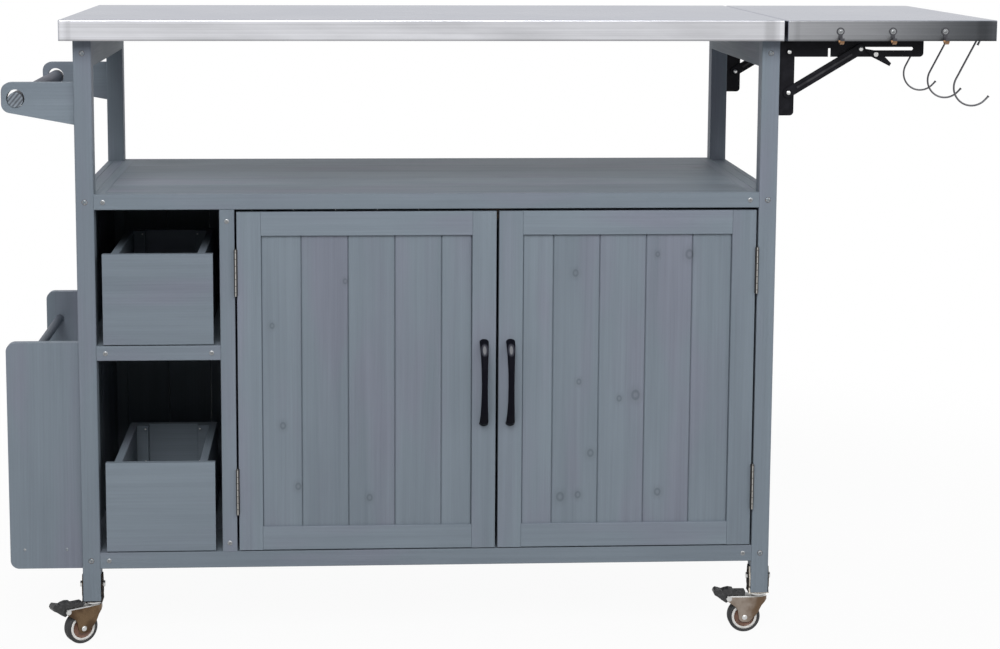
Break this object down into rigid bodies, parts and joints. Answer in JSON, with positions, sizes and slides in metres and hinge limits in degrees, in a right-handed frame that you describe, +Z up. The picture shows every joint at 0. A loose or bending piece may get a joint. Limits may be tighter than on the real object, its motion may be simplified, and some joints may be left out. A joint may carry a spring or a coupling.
{
  "type": "grill cart with storage",
  "caption": "Timber grill cart on braked castors with a steel worktop, folding side leaf, open shelf, bins, a double-door cabinet, a towel rod and a side rack.",
  "frame": {"origin": "on the floor under the middle of the cart's overall length and depth", "axes": "+X along the cart towards the folding leaf, +Y from the doors to the back, +Z up"},
  "size_m": [1.5221, 0.5264, 0.958],
  "materials": {
    "brushed_top": "satin",
    "core_board": "matt",
    "stained_frame": "matt",
    "stained_boards": "matt",
    "stained_rods": "matt",
    "hinge_steel": "satin",
    "catch_plastic": "matt",
    "pull_metal": "gloss",
    "black_steel": "satin",
    "bright_steel": "gloss",
    "bronze_steel": "satin",
    "castor_rubber": "matt",
    "pedal_plastic": "matt"
  },
  "bodies": {
    "cart": {"worktop_skin": "brushed_top", "worktop_core": "core_board", "leg_front_left": "stained_frame", "leg_front_right": "stained_frame", "leg_rear_left": "stained_frame", "leg_rear_right": "stained_frame", "top_side_rails": "stained_frame", "shelf_rails": "stained_frame", "base_rails": "stained_frame", "shelf_boards": "stained_boards", "floor_boards": "stained_boards", "side_panel_left": "stained_boards", "side_panel_right": "stained_boards", "back_panel": "stained_boards", "divider_post": "stained_frame", "divider_panel": "stained_boards", "cubby_shelf": "stained_frame", "frame_hinge_leaves": "hinge_steel", "door_catch": "catch_plastic", "towel_brackets": "stained_frame", "rack_plates": "stained_frame", "rack_base": "stained_frame", "rack_rod": "stained_rods", "bracket_wall_plates": "black_steel", "castor_clamps": "black_steel", "screw_heads": "bright_steel"},
    "towel_rod": {"towel_rod": "stained_rods"},
    "leaf": {"leaf_skin": "brushed_top", "leaf_core": "core_board", "bracket_arms": "black_steel", "hanging_plates": "bright_steel"},
    "strut_front": {"bracket_strut_front": "black_steel"},
    "lever_front": {"bracket_lever_front": "black_steel"},
    "strut_rear": {"bracket_strut_rear": "black_steel"},
    "lever_rear": {"bracket_lever_rear": "black_steel"},
    "hook_front": {"hook_front": "bright_steel"},
    "hook_middle": {"hook_middle": "bright_steel"},
    "hook_rear": {"hook_rear": "bright_steel"},
    "door_left": {"door_left_frame": "stained_frame", "door_left_boards": "stained_boards", "door_left_fittings": "hinge_steel", "door_left_pull": "pull_metal"},
    "door_right": {"door_right_frame": "stained_frame", "door_right_boards": "stained_boards", "door_right_fittings": "hinge_steel", "door_right_pull": "pull_metal"},
    "bin_upper": {"bin_upper": "stained_boards"},
    "bin_lower": {"bin_lower": "stained_boards"},
    "castor_front_left_swivel": {"castor_front_left_fork": "bronze_steel"},
    "castor_front_left_wheel": {"castor_front_left_wheel": "castor_rubber"},
    "castor_front_left_pedal": {"castor_front_left_pedal": "pedal_plastic"},
    "castor_front_right_swivel": {"castor_front_right_fork": "bronze_steel"},
    "castor_front_right_wheel": {"castor_front_right_wheel": "castor_rubber"},
    "castor_front_right_pedal": {"castor_front_right_pedal": "pedal_plastic"},
    "castor_rear_left_swivel": {"castor_rear_left_fork": "bronze_steel"},
    "castor_rear_left_wheel": {"castor_rear_left_wheel": "castor_rubber"},
    "castor_rear_left_pedal": {"castor_rear_left_pedal": "pedal_plastic"},
    "castor_rear_right_swivel": {"castor_rear_right_fork": "bronze_steel"},
    "castor_rear_right_wheel": {"castor_rear_right_wheel": "castor_rubber"},
    "castor_rear_right_pedal": {"castor_rear_right_pedal": "pedal_plastic"}
  },
  "joints": [
    {"name": "towel_rod_slide", "type": "slide", "parent": "cart", "child": "towel_rod", "axis": [0, -1, 0], "range_m": [0, 0.4]},
    {"name": "leaf_fold", "type": "hinge", "parent": "cart", "child": "leaf", "pos_m": [0.42388, 0.0072, 0.909], "axis": [0, 1, 0], "range_deg": [0, 87]},
    {"name": "strut_front_fold", "type": "hinge", "parent": "cart", "child": "strut_front", "pos_m": [0.42388, -0.2148, 0.847], "axis": [0, 1, 0], "range_deg": [0, 114.76]},
    {"name": "lever_front_press", "type": "hinge", "parent": "leaf", "child": "lever_front", "pos_m": [0.55758, -0.2148, 0.9046], "axis": [0, 1, 0], "range_deg": [-12, 0], "stiffness_Nm_per_rad": 0.1},
    {"name": "strut_rear_fold", "type": "hinge", "parent": "cart", "child": "strut_rear", "pos_m": [0.42388, 0.2182, 0.847], "axis": [0, 1, 0], "range_deg": [0, 114.76]},
    {"name": "lever_rear_press", "type": "hinge", "parent": "leaf", "child": "lever_rear", "pos_m": [0.55758, 0.2182, 0.9046], "axis": [0, 1, 0], "range_deg": [-12, 0], "stiffness_Nm_per_rad": 0.1},
    {"name": "hook_front_swing", "type": "hinge", "parent": "leaf", "child": "hook_front", "pos_m": [0.73968, -0.1398, 0.92623], "axis": [0, 1, 0], "range_deg": [-130.5, 0]},
    {"name": "hook_middle_swing", "type": "hinge", "parent": "leaf", "child": "hook_middle", "pos_m": [0.73968, 0.0072, 0.92623], "axis": [0, 1, 0], "range_deg": [-130.5, 0]},
    {"name": "hook_rear_swing", "type": "hinge", "parent": "leaf", "child": "hook_rear", "pos_m": [0.73968, 0.1542, 0.92623], "axis": [0, 1, 0], "range_deg": [-130.5, 0]},
    {"name": "door_left_swing", "type": "hinge", "parent": "cart", "child": "door_left", "pos_m": [-0.41302, -0.2256, 0.40565], "axis": [0, 0, 1], "range_deg": [-110, 0]},
    {"name": "door_right_swing", "type": "hinge", "parent": "cart", "child": "door_right", "pos_m": [0.38028, -0.2256, 0.40565], "axis": [0, 0, -1], "range_deg": [-110, 0]},
    {"name": "bin_upper_slide", "type": "slide", "parent": "cart", "child": "bin_upper", "axis": [0, -1, 0], "range_m": [0, 0.2]},
    {"name": "bin_lower_slide", "type": "slide", "parent": "cart", "child": "bin_lower", "axis": [0, -1, 0], "range_m": [0, 0.2]},
    {"name": "castor_front_left_swivel", "type": "hinge", "parent": "cart", "child": "castor_front_left_swivel", "pos_m": [-0.63762, -0.2093, 0.0586], "axis": [0, 0, 1], "continuous": true},
    {"name": "castor_front_left_roll", "type": "hinge", "parent": "castor_front_left_swivel", "child": "castor_front_left_wheel", "pos_m": [-0.65586, -0.22069, 0.025], "axis": [-0.5299, 0.848, 0], "continuous": true},
    {"name": "castor_front_left_brake", "type": "hinge", "parent": "castor_front_left_swivel", "child": "castor_front_left_pedal", "pos_m": [-0.6768, -0.23378, 0.055], "axis": [0.5299, -0.848, 0], "range_deg": [0, 12]},
    {"name": "castor_front_right_swivel", "type": "hinge", "parent": "cart", "child": "castor_front_right_swivel", "pos_m": [0.39538, -0.2093, 0.0586], "axis": [0, 0, 1], "continuous": true},
    {"name": "castor_front_right_roll", "type": "hinge", "parent": "castor_front_right_swivel", "child": "castor_front_right_wheel", "pos_m": [0.37388, -0.2093, 0.025], "axis": [0, 1, 0], "continuous": true},
    {"name": "castor_front_right_brake", "type": "hinge", "parent": "castor_front_right_swivel", "child": "castor_front_right_pedal", "pos_m": [0.34918, -0.2093, 0.055], "axis": [0, -1, 0], "range_deg": [0, 12]},
    {"name": "castor_rear_left_swivel", "type": "hinge", "parent": "cart", "child": "castor_rear_left_swivel", "pos_m": [-0.63762, 0.2237, 0.0586], "axis": [0, 0, 1], "continuous": true},
    {"name": "castor_rear_left_roll", "type": "hinge", "parent": "castor_rear_left_swivel", "child": "castor_rear_left_wheel", "pos_m": [-0.65727, 0.23245, 0.025], "axis": [0.4067, 0.9135, 0], "continuous": true},
    {"name": "castor_rear_left_brake", "type": "hinge", "parent": "castor_rear_left_swivel", "child": "castor_rear_left_pedal", "pos_m": [-0.67983, 0.24249, 0.055], "axis": [-0.4067, -0.9135, 0], "range_deg": [0, 12]},
    {"name": "castor_rear_right_swivel", "type": "hinge", "parent": "cart", "child": "castor_rear_right_swivel", "pos_m": [0.39538, 0.2237, 0.0586], "axis": [0, 0, 1], "continuous": true},
    {"name": "castor_rear_right_roll", "type": "hinge", "parent": "castor_rear_right_swivel", "child": "castor_rear_right_wheel", "pos_m": [0.37434, 0.21923, 0.025], "axis": [-0.2079, 0.9781, 0], "continuous": true},
    {"name": "castor_rear_right_brake", "type": "hinge", "parent": "castor_rear_right_swivel", "child": "castor_rear_right_pedal", "pos_m": [0.35019, 0.21409, 0.055], "axis": [0.2079, -0.9781, 0], "range_deg": [0, 12]}
  ],
  "couplings": [
    {"joint": "strut_front_fold", "follows": "leaf_fold", "ratio": 1.319},
    {"joint": "strut_rear_fold", "follows": "leaf_fold", "ratio": 1.319},
    {"joint": "hook_front_swing", "follows": "leaf_fold", "ratio": -1.5},
    {"joint": "hook_middle_swing", "follows": "leaf_fold", "ratio": -1.5},
    {"joint": "hook_rear_swing", "follows": "leaf_fold", "ratio": -1.5}
  ]
}
